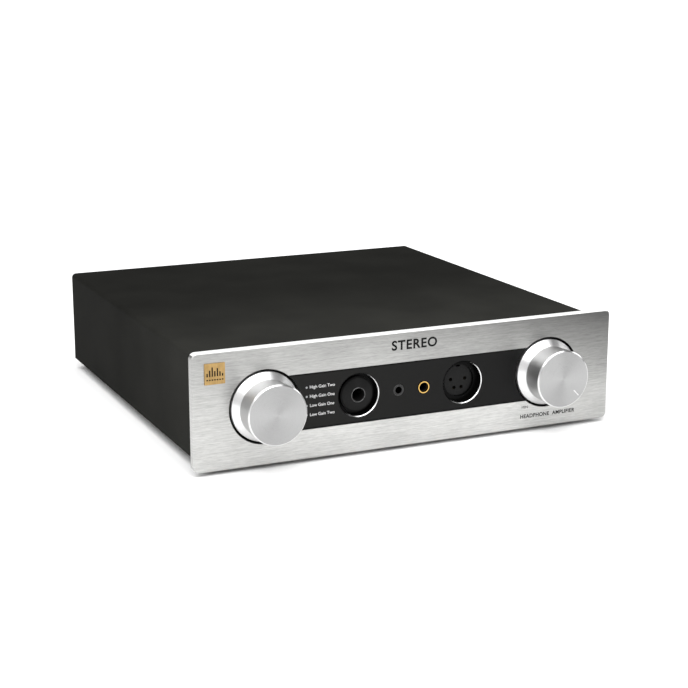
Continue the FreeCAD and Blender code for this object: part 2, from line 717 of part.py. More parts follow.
def make_feet():
    """Rubber feet, each held by a screw from below into the tray."""
    seat = "foot_height - foot_web"
    well = "head_radius + slip"
    outline = [("screw_hole", seat), (well, seat), (well, "0"), ("foot_radius - foot_edge", "0"),
               ("foot_radius", "foot_edge"), ("foot_radius - foot_edge", "foot_height"),
               ("screw_hole", "foot_height")]
    feet = [turned(f"foot_{number}", outline, x, y, "0", upright=True)
            for number, (x, y) in enumerate(foot_spots())]
    node("feet", group(feet))
    screws = [screw(x, y, seat, "+z", "foot_web + sheet + screw_bite") for x, y in foot_spots()]
    node("foot_screws", group(screws))


def make_case_screws():
    spots = lip_screw_spots() + flange_screw_spots("case_front + flange_depth / 2")
    spots += flange_screw_spots("case_back - flange_depth / 2")
    screws = [screw(x, y, "foot_height", "+z", "2 * sheet + screw_bite") for x, y in spots]
    node("case_screws", group(screws))


# ---- rear panel and its sockets --------------------------------------------------------


def phono_spots():
    return [(f"phono_x + {side} * phono_pitch", f"rear_z + {level} * phono_spacing")
            for side in (-0.5, 0.5) for level in (-0.5, 0.5)]


def rear_pillar_spots():
    return [(x, f"rear_z {side} rear_pillar_rise")
            for x in ("rear_pillar_left", "rear_pillar_right") for side in ("-", "+")]


def around(x, z, width, height):
    """Outline of a hole about a middle, with room for what fits in it."""
    half_width, half_height = f"(({width}) / 2 + slip)", f"(({height}) / 2 + slip)"
    return rectangle(f"{x} - {half_width}", f"{z} - {half_height}",
                     f"{x} + {half_width}", f"{z} + {half_height}")


def make_rear_panel():
    body = new_body("rear_panel")
    pad(body, "XZ_Plane", "rear_inside", "sheet", [clipped_web()])
    flange = rectangle("-inner_side", "case_back - flange_depth", "inner_side", "case_back")
    pad(body, "XY_Plane", "inner_floor", "sheet", [flange])
    holes = [(x, "rear_z", "rear_xlr_recess + rear_xlr_wall + slip")
             for x in ("line_left_x", "line_right_x")]
    holes += [(x, z, "phono_neck + slip") for x, z in phono_spots()]
    holes += [(x, z, "screw_hole") for x, z in rear_pillar_spots()]
    cuts = [
        around("inlet_x", "rear_z", "inlet_width", "inlet_height"),
        around("rocker_x", "rear_z", *ROCKER_BLOCK),
        around("square_port_x", "rear_port_z", "square_port_width", "square_port_height"),
        around("oval_port_x", "rear_port_z", "oval_port_width", "oval_port_height"),
    ]
    pocket(body, "XZ_Plane", "rear_inside", "sheet", holes)
    pocket(body, "XZ_Plane", "rear_inside", "sheet", cuts)
    spots = [(x, y, "screw_hole") for x, y in flange_screw_spots("case_back - flange_depth / 2")]
    pocket(body, "XY_Plane", "inner_floor", "sheet", spots)
    node("rear_panel", body)


# Places of the three line pins from the socket's middle.
LINE_PINS = ((-3.8, 1.6), (3.8, 1.6), (0, -4.1))


def make_rear_xlrs():
    """Two three-pin line outputs: shells with a flange outside the panel, and pins."""
    shells, pins = [], []
    bottom = "case_back - rear_xlr_depth"
    for x in ("line_left_x", "line_right_x"):
        barrel = rod(x, "rear_board_y", "rear_z", "rear_xlr_recess + rear_xlr_wall",
                     "rear_board_gap + sheet + 1")
        flange = middle_box(x, "case_back", "rear_z", "line_flange_width", "line_flange",
                            "line_flange_height")
        hole = rod(x, bottom, "rear_z", "rear_xlr_recess", "rear_xlr_depth + line_flange + 1")
        shells.append(cut(fuse(barrel, flange), hole))
        for u, v in LINE_PINS:
            pins.append(rod(f"{x} + {u}", bottom, f"rear_z + {v}", "line_pin_radius",
                            "rear_xlr_depth - line_flange"))
    node("line_xlr_shells", group(shells))
    node("line_xlr_pins", group(pins))


def make_phonos():
    """Phono sockets: gilt shells with a nut outside the panel, and moulded insulators."""
    shells, insulators = [], []
    lining = "phono_neck - phono_wall"
    inside = "rear_board_gap + sheet"
    for x, z in phono_spots():
        neck = rod(x, "rear_board_y", z, "phono_neck", f"{inside} + 1")
        barrel = rod(x, "case_back", z, "phono_radius", "rear_reach")
        nut = hexagon(x, "case_back", z, "phono_nut_radius", "phono_nut_thickness")
        hole = rod(x, "rear_board_y", z, lining, f"{inside} + rear_reach + 1")
        shells.append(cut(fuse(neck, barrel, nut), hole))
        core = rod(x, "rear_board_y", z, f"{lining} - slip", f"{inside} + rear_reach - 1")
        bore = rod(x, "case_back - 2", z, "phono_bore", "rear_reach + 2")
        insulators.append(cut(core, bore))
    node("phono_shells", group(shells))
    node("phono_insulators", group(insulators))


def make_port(x, width, height, mouth_width, mouth_height):
    """A data port: a block from the board through the panel, with its mouth behind it."""
    length = "rear_board_gap + sheet + port_reach"
    shell = middle_box(x, "rear_board_y", "rear_port_z", width, length, height)
    mouth = middle_box(x, "rear_board_y + port_back", "rear_port_z", mouth_width, length,
                       mouth_height)
    return cut(shell, mouth)


def make_ports():
    """Square and oval data ports: steel shells with a tongue inside."""
    square = make_port("square_port_x", "square_port_width", "square_port_height",
                       "square_mouth_width", "square_mouth_height")
    oval = make_port("oval_port_x", "oval_port_width", "oval_port_height",
                     "oval_mouth_width", "oval_mouth_height")
    node("data_ports", group([square, oval]))
    start, length = "rear_board_y + port_back", "rear_board_gap - 2 * port_back"
    tongues = [
        middle_box("square_port_x", start, "rear_port_z", "square_mouth_width * 0.65",
                   length, "square_mouth_height * 0.4"),
        middle_box("oval_port_x", start, "rear_port_z", "oval_mouth_width * 0.8",
                   length, "oval_mouth_height * 0.27"),
    ]
    node("data_port_tongues", group(tongues))


def make_inlet():
    """Mains inlet with a drawer for the fuses above the plug's recess."""
    plug_z = "rear_z - inlet_height / 2 + inlet_margin + plug_height / 2"
    drawer_z = "rear_z + inlet_height / 2 - inlet_margin - drawer_height / 2"
    mouth = "case_back + inlet_flange"
    block = middle_box("inlet_x", "rear_inside - inlet_depth", "rear_z", "inlet_width",
                       "inlet_depth + sheet", "inlet_height")
    flange = middle_box("inlet_x", "case_back", "rear_z", "inlet_width + inlet_border",
                        "inlet_flange", "inlet_height + inlet_border")
    recess = middle_box("inlet_x", f"{mouth} - plug_depth", plug_z, "plug_width",
                        "plug_depth + 1", "plug_height")
    tunnel = middle_box("inlet_x", f"{mouth} - drawer_depth - inlet_margin", drawer_z,
                        "drawer_width + 2 * seam_gap", "drawer_depth + inlet_margin + 1",
                        "drawer_height + 2 * seam_gap")
    node("mains_inlet", cut(fuse(block, flange), recess, tunnel))
    blades = [middle_box(f"inlet_x + {side} * blade_pitch", f"{mouth} - plug_depth",
                         f"{plug_z} + {rise}", "blade_width", "plug_depth - 3", "blade_height")
              for side, rise in ((-1, -1), (0, 1.5), (1, -1))]
    node("inlet_blades", group(blades))
    start, floor = f"{mouth} - drawer_depth", f"{drawer_z} - drawer_height / 2 + 1"
    tray = middle_box("inlet_x", start, drawer_z, "drawer_width",
                      "drawer_depth + drawer_stand", "drawer_height")
    wells = [box(f"inlet_x + {side} * fuse_spacing - fuse_radius - slip", f"{start} + 1.5", floor,
                 "2 * fuse_radius + 2 * slip", "fuse_length + 2 * slip", "drawer_height")
             for side in (-1, 1)]
    grip = middle_box("inlet_x", f"{mouth} + drawer_stand / 3",
                      f"{drawer_z} + drawer_height / 2 - 1", "drawer_width / 2", "drawer_stand",
                      "1.4")
    node("fuse_drawer", cut(tray, grip, *wells))
    fuses = [rod(f"inlet_x + {side} * fuse_spacing", f"{start} + 1.5 + slip",
                 f"{floor} + fuse_radius + slip / 2", "fuse_radius", "fuse_length")
             for side in (-1, 1)]
    node("fuses", group(fuses))


# Width and height of the rocker's housing behind its flange.
ROCKER_BLOCK = ("rocker_width + 4", "rocker_height + 5")


def make_rocker():
    """Rocker switch: a snap-in housing and a bar that tips about a pin across it."""
    pin_y = "case_back - rocker_set"
    block = middle_box("rocker_x", "rear_inside - rocker_depth", "rear_z", ROCKER_BLOCK[0],
                       "rocker_depth + sheet", ROCKER_BLOCK[1])
    flange = middle_box("rocker_x", "case_back", "rear_z", "rocker_width + 7", "rocker_flange",
                        "rocker_height + 8")
    hollow = middle_box("rocker_x", f"{pin_y} - 2 * rocker_set", "rear_z", "rocker_width + 1",
                        "4 * rocker_set", "rocker_height + 2.4")
    pins = rod("rocker_x - rocker_width / 2 - 1.6", pin_y, "rear_z",
               "rocker_pin + running_gap", "rocker_width + 3.2", "+x")
    node("rocker_housing", cut(fuse(block, flange), hollow, pins))
    profile = [("-3.5", "-5"), ("3.5", "-5"), ("rocker_height / 2", "0"),
               ("rocker_height / 2", "5.6"), ("0", "4.2"), ("-rocker_height / 2", "5.6"),
               ("-rocker_height / 2", "0")]
    body = new_body("rocker")
    pad(body, "XY_Plane", "-rocker_width / 2", "rocker_width", [profile])
    axle = rod("0", "0", "-rocker_width / 2 - 1.2", "rocker_pin", "rocker_width + 2.4", "+z")
    rocker = fuse(body, axle)
    rocker.Placement = Placement(Vector(), tilt_of_rocker())
    node("power_rocker", place(rocker, "rocker_x", pin_y, "rear_z"))


def tilt_of_rocker():
    """Stand the even profile up: its u runs along Z and its v along +Y, then tip it."""
    upright = Rotation(Vector(0, 0, 1), Vector(0, 1, 0), Vector(1, 0, 0), "ZYX")
    return Rotation(Vector(1, 0, 0), size_of("rocker_swing")) * upright


# ---- boards and supply -----------------------------------------------------------------


def standing_board(name, y, left, right, middle, spots):
    body = new_body(name)
    edge = rectangle(left, f"{middle} - upright_half", right, f"{middle} + upright_half")
    pad(body, "XZ_Plane", y, "board", [edge])
    pocket(body, "XZ_Plane", y, "board", [(x, z, "screw_hole") for x, z in spots])
    node(name, body)


def lying_board(name, left, low, right, high, spots):
    body = new_body(name)
    pad(body, "XY_Plane", "board_z", "board", [rectangle(left, low, right, high)])
    pocket(body, "XY_Plane", "board_z", "board", [(x, y, "screw_hole") for x, y in spots])
    node(name, body)


def make_boards():
    """Front and rear boards stand up; the amplifier and supply boards lie on standoffs."""
    standing_board("front_board", "front_board_y", "mode_x - board_overlap",
                   "volume_x + board_overlap", "axis_z", front_pillar_spots())
    standing_board("rear_board", "rear_board_y - board", "-inner_side + board_gap + 1",
                   "rear_board_right", "rear_z", rear_pillar_spots())
    lying_board("amplifier_board", "amplifier_left", "amplifier_front", "amplifier_right",
                "amplifier_back", amplifier_pillar_spots())
    lying_board("supply_board", "supply_left", "supply_front", "supply_right",
                "supply_back", supply_pillar_spots())


def spacer(x, y, z, length, axis):
    """Hexagonal spacer with a hole for screws from both ends."""
    bar = hexagon(x, y, z, "pillar_radius", length, axis)
    return cut(bar, rod(x, y, z, "screw_hole", length, axis))


def make_spacers():
    front, rear = front_pillar_spots(), rear_pillar_spots()
    low = amplifier_pillar_spots() + supply_pillar_spots()
    spacers = [spacer(x, "bracket_back", z, "front_board_gap", "+y") for x, z in front]
    spacers += [spacer(x, "rear_board_y", z, "rear_board_gap", "+y") for x, z in rear]
    spacers += [spacer(x, y, "inner_floor", "standoff", "+z") for x, y in low]
    node("board_spacers", group(spacers))
    long_bite = "2 * screw_bite"
    screws = [screw(x, "front_board_y + board", z, "-y", f"board + {long_bite}")
              for x, z in front]
    screws += [screw(x, "rear_board_y - board", z, "+y", f"board + {long_bite}")
               for x, z in rear]
    screws += [screw(x, "case_back", z, "-y", f"sheet + {long_bite}") for x, z in rear]
    screws += [screw(x, y, "board_top", "-z", "board + screw_bite") for x, y in low]
    screws += [screw(x, y, "foot_height", "+z", "sheet + screw_bite") for x, y in low]
    node("board_screws", group(screws))


def transformer_ring(base):
    """The wound ring, its four edges cut back by the softness of the winding."""
    edge = "toroid_height / 4"
    flat = f"{edge} / 2"
    ring = [("toroid_hole", edge), (f"toroid_hole + {flat}", "0"),
            (f"toroid_radius - {flat}", "0"), ("toroid_radius", edge),
            ("toroid_radius", f"toroid_height - {edge}"),
            (f"toroid_radius - {flat}", "toroid_height"),
            (f"toroid_hole + {flat}", "toroid_height"),
            ("toroid_hole", f"toroid_height - {edge}")]
    return turned("transformer", ring, "toroid_x", "toroid_middle", base, upright=True)


def washer(z, radius, hole, thickness):
    """A round plate about the transformer's bolt."""
    return cut(rod("toroid_x", "toroid_middle", z, radius, thickness, "+z"),
               rod("toroid_x", "toroid_middle", z, hole, thickness, "+z"))


def make_transformer():
    """Toroidal transformer between two rubber pads, under a plate, a bolt and a nut."""
    base = "inner_floor + pad_thickness"
    top_z = f"{base} + toroid_height"
    plate_z = f"{top_z} + pad_thickness"
    node("transformer", transformer_ring(base))
    pads = [washer(z, "toroid_radius - 6", "bolt_radius + 1", "pad_thickness")
            for z in ("inner_floor", top_z)]
    node("transformer_pads", group(pads))
    node("transformer_plate", washer(plate_z, "toroid_radius - 8", "bolt_radius + slip", "sheet"))
    head_z = "foot_height - head_height"
    head = rod("toroid_x", "toroid_middle", head_z, "bolt_radius * 1.8", "head_height", "+z")
    shank = rod("toroid_x", "toroid_middle", head_z, "bolt_radius",
                f"{plate_z} + sheet + bolt_radius + 1 - ({head_z})", "+z")
    nut = cut(hexagon("toroid_x", "toroid_middle", f"{plate_z} + sheet", "bolt_radius * 1.9",
                      "bolt_radius", "+z"),
              rod("toroid_x", "toroid_middle", f"{plate_z} + sheet", "bolt_radius + running_gap",
                  "bolt_radius", "+z"))
    node("transformer_fixings", group([fuse(head, shank), nut]))


def make_supply_parts():
    x = "supply_left + 2 * supply_side_margin + can_radius + 1.5"
    cans = [rod(f"{x} + {step} * (2 * can_radius + can_gap)", "supply_back - can_radius - 1",
                "board_top", "can_radius", "can_height", "+z") for step in range(3)]
    node("supply_capacitors", group(cans))
    sink = heat_sink("supply_left + 14", "supply_front + 8", fins=8, fin_depth=9, height=24)
    node("supply_heat_sink", sink)


def heat_sink(x, y, fins, fin_depth, height):
    """A back plate with upright fins behind it, standing on a board."""
    back = box(x, y, "board_top", f"{fins - 1} * fin_pitch + fin", "sink_back", height)
    plates = [box(f"{x} + {number} * fin_pitch", f"{y} + sink_back - 0.5", "board_top", "fin",
                  f"{fin_depth} + 0.5", height) for number in range(fins)]
    return fuse(back, *plates)


def make_amplifier_parts():
    """Two rows of capacitors, the output devices on their sink, the cards and the relays."""
    left = "amplifier_left + 2 * pillar_margin"
    sink_y = "amplifier_front + 30"
    node("amplifier_heat_sink",
         heat_sink(f"{left} + 3", sink_y, fins=14, fin_depth=10, height=28))
    devices = [box(f"{left} + 7 + {step} * 17", f"{sink_y} - device_depth", "board_top + 4",
                   "device_width", "device_depth", "device_height") for step in range(4)]
    node("output_transistors", group(devices))
    cans = [rod(f"{left} + 9 + {step} * 13", y, "board_top", "small_can_radius",
                "small_can_height", "+z")
            for step in range(6) for y in ("amplifier_front + 14", "amplifier_front + 54")]
    node("amplifier_capacitors", group(cans))
    cards = [box(f"{left} + 11 + {step} * 22", "amplifier_front + 68", "board_top", "board",
                 "card_length", "card_height") for step in range(3)]
    node("converter_cards", group(cards))
    relays = [box(f"{left} + 7 + {step} * 15", "amplifier_back - relay_length - 8", "board_top",
                  "relay_width", "relay_length", "relay_width") for step in range(4)]
    node("relays", group(relays))


# ---- build and write out -----------------------------------------------------------------


def check_and_write():
    """Stop on any failed feature, then write one STEP file per sub-part."""
    doc.recompute()
    failed = [item.Name for item in doc.Objects
              if "Invalid" in item.State or "Error" in item.State]
    if failed:
        raise ValueError(f"failed features: {failed}")
    os.makedirs("parts", exist_ok=True)
    for piece in PIECES:
        if piece.Shape.isNull() or not piece.Shape.isValid():
            raise ValueError(f"{piece.Label} has no valid shape")
        piece.Shape.exportStep(f"parts/{piece.Label}.step")


fill_sheet()
make_front_panel()
make_strip()
make_linings()
make_badge()
make_front_bracket()
make_panel_screws()
make_control("volume", "volume_x", "pot_size", "pot")
make_control("mode", "mode_x", "switch_size", "switch")
make_control_nuts()
make_jacks()
make_front_xlr()
make_lights()
make_cover()
make_tray()
make_feet()
make_case_screws()
make_rear_panel()
make_rear_xlrs()
make_phonos()
make_ports()
make_inlet()
make_rocker()
make_boards()
make_spacers()
make_transformer()
make_supply_parts()
make_amplifier_parts()
check_and_write()
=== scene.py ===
import json
import math

import bpy
from mathutils import Matrix, Vector


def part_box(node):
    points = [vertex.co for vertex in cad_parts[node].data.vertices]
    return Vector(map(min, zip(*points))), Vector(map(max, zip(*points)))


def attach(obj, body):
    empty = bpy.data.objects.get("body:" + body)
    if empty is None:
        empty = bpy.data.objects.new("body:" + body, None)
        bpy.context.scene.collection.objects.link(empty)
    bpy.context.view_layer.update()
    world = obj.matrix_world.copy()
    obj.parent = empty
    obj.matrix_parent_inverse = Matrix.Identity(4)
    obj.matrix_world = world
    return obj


# A desktop headphone amplifier: black folded case, brushed front panel and two turned knobs.
# Everything is in metres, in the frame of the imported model: +X right, +Y back, +Z up.

MM = 0.001

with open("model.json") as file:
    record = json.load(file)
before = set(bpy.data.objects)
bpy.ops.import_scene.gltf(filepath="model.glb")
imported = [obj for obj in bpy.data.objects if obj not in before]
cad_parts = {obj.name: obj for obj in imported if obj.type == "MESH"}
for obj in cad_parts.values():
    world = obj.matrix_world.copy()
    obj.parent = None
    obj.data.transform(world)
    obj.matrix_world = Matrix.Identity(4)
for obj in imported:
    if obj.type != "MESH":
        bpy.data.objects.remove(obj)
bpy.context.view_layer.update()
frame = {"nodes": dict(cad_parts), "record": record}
NODES = frame["nodes"]
CASE = "case"


def centre(node):
    low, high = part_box(node)
    return [(a + b) / 2 for a, b in zip(low, high)]


PANEL_LOW, PANEL_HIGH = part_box("front_panel")
STRIP_LOW, STRIP_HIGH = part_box("display_strip")
FACE_Y = PANEL_LOW[1]
STRIP_Y = STRIP_LOW[1]
REAR_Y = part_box("top_cover")[1][1]


# ---- materials ---------------------------------------------------------------------------


def grey(level):
    return (level,) * 3


def shaded(colour, factor):
    return tuple(part * factor for part in colour)


class Finish:
    """A procedural material, with short calls to add and join its nodes."""

    def __init__(self, name, colour, metallic=0.0, roughness=0.5, **sockets):
        self.material = bpy.data.materials.new(name)
        self.material.use_nodes = True
        self.tree = self.material.node_tree
        self.shader = self.tree.nodes["Principled BSDF"]
        self.set("Base Color", (*colour, 1))
        self.set("Metallic", metallic)
        self.set("Roughness", roughness)
        for socket, value in sockets.items():
            self.set(socket.replace("_", " "), value)

    def set(self, socket, value):
        self.shader.inputs[socket].default_value = value

    def node(self, kind, **inputs):
        made = self.tree.nodes.new(kind)
        for socket, value in inputs.items():
            made.inputs[socket].default_value = value
        return made

    def join(self, out, into):
        self.tree.links.new(out, into)

    def place(self, scale=(1, 1, 1), location=(0, 0, 0)):
        """Object coordinates, moved and scaled."""
        coordinates = self.node("ShaderNodeTexCoord")
        mapping = self.node("ShaderNodeMapping", Scale=scale, Location=location)
        self.join(coordinates.outputs["Object"], mapping.inputs["Vector"])
        return mapping.outputs["Vector"]

    def split(self, vector):
        """A vector's X, Y and Z."""
        made = self.node("ShaderNodeSeparateXYZ")
        self.join(vector, made.inputs["Vector"])
        return made.outputs["X"], made.outputs["Y"], made.outputs["Z"]

    def noise(self, vector, scale, detail=3.0, rough=0.5):
        made = self.node("ShaderNodeTexNoise", Scale=scale, Detail=detail, Roughness=rough)
        self.join(vector, made.inputs["Vector"])
        return made.outputs["Fac"]

    def math(self, operation, *values):
        made = self.node("ShaderNodeMath")
        made.operation = operation
        for index, value in enumerate(values):
            if isinstance(value, (int, float)):
                made.inputs[index].default_value = value
            else:
                self.join(value, made.inputs[index])
        return made.outputs[0]

    def range(self, value, low, high, start=0.0, end=1.0):
        """Spread a value between start and end over low to high."""
        made = self.node("ShaderNodeMapRange")
        self.join(value, made.inputs["Value"])
        for socket, number in (("From Min", start), ("From Max", end),
                               ("To Min", low), ("To Max", high)):
            made.inputs[socket].default_value = number
        return made.outputs["Result"]

    def blend(self, share, first, second):
        """A colour between two, each a plain colour or an output."""
        made = self.tree.nodes.new("ShaderNodeMix")
        made.data_type = "RGBA"
        self.join(share, made.inputs["Factor"])
        for index, value in ((6, first), (7, second)):
            if isinstance(value, tuple):
                made.inputs[index].default_value = (*value, 1)
            else:
                self.join(value, made.inputs[index])
        return made.outputs[2]

    def scaled(self, colour, factor):
        """A colour output times a factor output."""
        made = self.node("ShaderNodeVectorMath")
        made.operation = "SCALE"
        self.join(colour, made.inputs[0])
        self.join(factor, made.inputs["Scale"])
        return made.outputs["Vector"]

    def drive(self, socket, value):
        self.join(value, self.shader.inputs[socket])

    def bump(self, height, distance, strength=0.4):
        made = self.node("ShaderNodeBump", Strength=strength, Distance=distance)
        self.join(height, made.inputs["Height"])
        self.join(made.outputs["Normal"], self.shader.inputs["Normal"])

    def tangent(self, axis):
        made = self.tree.nodes.new("ShaderNodeTangent")
        made.direction_type = "RADIAL"
        made.axis = axis
        self.join(made.outputs["Tangent"], self.shader.inputs["Tangent"])

    def axes(self, x=0.0, z=0.0):
        """Object X, Y and Z, measured from an axis along Y at x, z."""
        return self.split(self.place((1, 1, 1), (-x, 0, -z)))

    def reach(self, x, z):
        """Distance from an axis along Y at x, z."""
        across, _, up = self.axes(x, z)
        squares = self.math("ADD", self.math("MULTIPLY", across, across),
                            self.math("MULTIPLY", up, up))
        return self.math("SQRT", squares)

    def grained(self, scale, smooth, coarse, depth):
        """A fine grain in the bump, and in the roughness from smooth to coarse."""
        grains = self.noise(self.place(), scale, 2.0, 0.6)
        self.drive("Roughness", self.range(grains, smooth, coarse, 0.35, 0.65))
        self.bump(grains, depth)

    def marked(self, scale, smooth, coarse):
        """Faint marks in the roughness alone."""
        marks = self.noise(self.place(), scale, 3.0, 0.55)
        self.drive("Roughness", self.range(marks, smooth, coarse, 0.35, 0.65))


def brushed_aluminium():
    """Horizontal brushed grain, with painted shade: its tone falls off upward and toward the
    right end.
    """
    finish = Finish("brushed aluminium", (0.5, 0.5, 0.49), 1.0, 0.36, Anisotropic=0.7,
                    Anisotropic_Rotation=0.25)
    fine = finish.noise(finish.place((260, 40, 3000)), 1.0, 3.0, 0.65)
    long = finish.noise(finish.place((60, 20, 1500)), 1.0, 2.0, 0.5)
    cloud = finish.noise(finish.place((26, 10, 40)), 1.0, 2.0, 0.5)
    both = finish.math("ADD", finish.math("MULTIPLY", fine, 0.6),
                       finish.math("MULTIPLY", long, 0.4))
    across, _, up = finish.axes()
    # Painted shade: darker upward and toward the right end, where the light falls off.
    rise = finish.range(up, 0.0, 1.0, PANEL_LOW[2] + 16 * MM, PANEL_HIGH[2])
    side = finish.range(across, 0.0, 1.0, -70 * MM, 70 * MM)
    end = finish.range(across, 0.0, 0.2, 60 * MM, 112 * MM)
    fall = finish.math("MULTIPLY", rise, finish.math("MULTIPLY_ADD", side, 0.32, 0.3))
    shade = finish.math("SUBTRACT", finish.math("SUBTRACT", 1.0, fall), end)
    painted_shade_and_cloud = finish.math("MULTIPLY", shade, finish.range(cloud, 0.92, 1.08, 0.3, 0.7))
    tone = finish.range(both, 0.0, 1.0, 0.34, 0.66)
    grain = finish.blend(tone, (0.43, 0.43, 0.42), (0.67, 0.67, 0.655))
    finish.drive("Base Color", finish.scaled(grain, painted_shade_and_cloud))
    finish.drive("Roughness", finish.range(both, 0.3, 0.44, 0.36, 0.64))
    finish.bump(both, 0.00002, 0.3)
    finish.tangent("Z")
    return finish.material


RINGS_PER_METRE = 6500
# The painted sheen on the knobs: its lobes round the axis, and how far they are turned.
PAINTED_SHEEN_LOBES = 2.0
PAINTED_SHEEN_TURN = 0.9


def spun_aluminium(name, node, tone, roughness):
    """Turned knob: fine rings about the knob's own axis, and a painted two-lobed sheen round it.
    """
    x, _, z = centre(node)
    finish = Finish(name, grey(tone), 1.0, roughness, Anisotropic=0.8,
                    Anisotropic_Rotation=0.25)
    _, along, _ = finish.axes()
    spin = finish.node("ShaderNodeCombineXYZ")
    finish.join(finish.math("MULTIPLY", finish.math("ADD", finish.reach(x, z), along),
                            RINGS_PER_METRE), spin.inputs["X"])
    rings = finish.noise(spin.outputs["Vector"], 1.0, 2.0, 0.5)
    across, _, up = finish.axes(x, z)
    # Painted highlight: a two-lobed light and dark sheen round the axis, standing in for the
    # spun face's highlights.
    turn = finish.math("MULTIPLY_ADD", finish.math("ARCTAN2", up, across), PAINTED_SHEEN_LOBES,
                       PAINTED_SHEEN_TURN)
    sheen = finish.math("MULTIPLY_ADD", finish.math("COSINE", turn), 0.5, 0.5)
    speck = finish.noise(finish.place(), 2200, 2.0, 0.6)
    both = finish.math("MULTIPLY_ADD", rings, 0.35, finish.math("MULTIPLY", speck, 0.35))
    shade = finish.math("MULTIPLY_ADD", sheen, 0.3, both)
    finish.drive("Base Color", finish.blend(finish.range(shade, 0, 1, 0.2, 0.8),
                                            grey(tone * 0.86), grey(tone * 1.1)))
    finish.drive("Roughness", finish.range(rings, roughness * 0.85, roughness * 1.2, 0.3, 0.7))
    finish.bump(rings, 0.00002, 0.25)
    finish.tangent("Y")
    return finish.material


CASE_TONE = 0.011
# Painted light on the case: its tone at the front and at the back, and how far back it fades.
PAINTED_LIGHT_FRONT, PAINTED_LIGHT_BACK = 2.2, 1.1
PAINTED_LIGHT_FADE = 130 * MM


def powder_black():
    """Fine textured black paint on the folded sheet, with painted light: about twice as light at
    the front.
    """
    finish = Finish("case black", grey(CASE_TONE), 0.0, 0.5, Specular_IOR_Level=0.005)
    cloud = finish.noise(finish.place(), 30, 3.0, 0.5)
    shade = finish.range(cloud, 0, 1, 0.3, 0.7)
    paint = finish.blend(shade, (CASE_TONE * 0.88, CASE_TONE * 0.88, CASE_TONE * 0.8),
                         (CASE_TONE * 1.15, CASE_TONE * 1.15, CASE_TONE * 1.04))
    _, depth, _ = finish.axes()
    # Painted light: the case grows lighter toward the front panel.
    front = finish.range(depth, PAINTED_LIGHT_FRONT, PAINTED_LIGHT_BACK, FACE_Y, FACE_Y + PAINTED_LIGHT_FADE)
    finish.drive("Base Color", finish.scaled(paint, front))
    finish.grained(2600, 0.5, 0.66, 0.00006)
    return finish.material


def moulded(name, colour, roughness=0.45, grain=1800, depth=0.00003, **sockets):
    """Moulded plastic or rubber with a fine grain."""
    finish = Finish(name, colour, 0.0, roughness, **sockets)
    finish.drive("Base Color", finish.blend(finish.noise(finish.place(), 60, 2.0),
                                            shaded(colour, 0.85), colour))
    finish.grained(grain, roughness * 0.85, roughness * 1.15, depth)
    return finish.material


def metal(name, colour, roughness=0.25):
    """Plated or bare metal with faint marks."""
    finish = Finish(name, colour, 1.0, roughness)
    finish.drive("Base Color", finish.blend(finish.noise(finish.place(), 120, 2.0),
                                            shaded(colour, 0.85), colour))
    finish.marked(900, roughness * 0.75, roughness * 1.3)
    return finish.material


def satin_gilt():
    """Gilt badge: brownish gold with a fine upright grain."""
    finish = Finish("satin gilt", (0.4, 0.26, 0.1), 0.7, 0.42)
    grain = finish.noise(finish.place((2600, 40, 160)), 1.0, 3.0, 0.6)
    cloud = finish.noise(finish.place(), 260, 3.0, 0.5)
    both = finish.math("ADD", finish.math("MULTIPLY", grain, 0.5),
                       finish.math("MULTIPLY", cloud, 0.5))
    tone = finish.range(both, 0.0, 1.0, 0.35, 0.65)
    finish.drive("Base Color", finish.blend(tone, (0.32, 0.205, 0.075), (0.5, 0.33, 0.13)))
    finish.drive("Roughness", finish.range(both, 0.36, 0.5, 0.35, 0.65))
    finish.bump(both, 0.00002)
    return finish.material


TAPE_LAPS = 48


def wound_tape():
    """Transformer winding: overlapping turns of amber tape about the ring."""
    x, y, _ = centre("transformer")
    finish = Finish("winding tape", (0.5, 0.33, 0.06), 0.0, 0.3, Coat_Weight=0.3)
    across, back, _ = finish.split(finish.place((1, 1, 1), (-x, -y, 0)))
    turn = finish.math("ARCTAN2", back, across)
    laps = finish.math("FRACT", finish.math("MULTIPLY", turn, TAPE_LAPS / (2 * math.pi)))
    finish.drive("Base Color", finish.blend(laps, (0.5, 0.32, 0.06), (0.36, 0.22, 0.04)))
    finish.bump(laps, 0.0002, 0.5)
    return finish.material


def solder_mask():
    """Green solder mask with faint lighter tracks under it."""
    green = (0.01, 0.09, 0.045)
    finish = Finish("solder mask", green, 0.0, 0.32, Coat_Weight=0.2)
    tracks = finish.node("ShaderNodeTexVoronoi", Scale=240.0)
    tracks.distance = "CHEBYCHEV"
    finish.join(finish.place(), tracks.inputs["Vector"])
    lines = finish.range(tracks.outputs["Distance"], 0.0, 1.0, 0.42, 0.5)
    finish.drive("Base Color", finish.blend(lines, green, shaded(green, 1.7)))
    finish.bump(lines, 0.00003)
    return finish.material


# The lip's bright metal, and the painted shadow on its upper left side.
RIM_BRIGHT, RIM_PAINTED_SHADOW = grey(0.85), grey(0.008)


def rolled_rim(node):
    """Bright lip round a socket, lit on its lower right side only, with a painted shadow over
    the rest.
    """
    x, _, z = centre(node)
    finish = Finish(f"rolled rim {node}", RIM_BRIGHT, 1.0, 0.22)
    across, _, up = finish.axes(x, z)
    # Painted shadow: the lip darkens away from its lower right side, as if shaded by the hole's
    # edge.
    lean = finish.math("MULTIPLY_ADD", across, 0.87, finish.math("MULTIPLY", up, -0.5))
    lit = finish.range(lean, 0.0, 1.0, -2 * MM, 3 * MM)
    finish.drive("Base Color", finish.blend(lit, RIM_PAINTED_SHADOW, RIM_BRIGHT))
    finish.marked(900, 0.18, 0.3)
    return finish.material


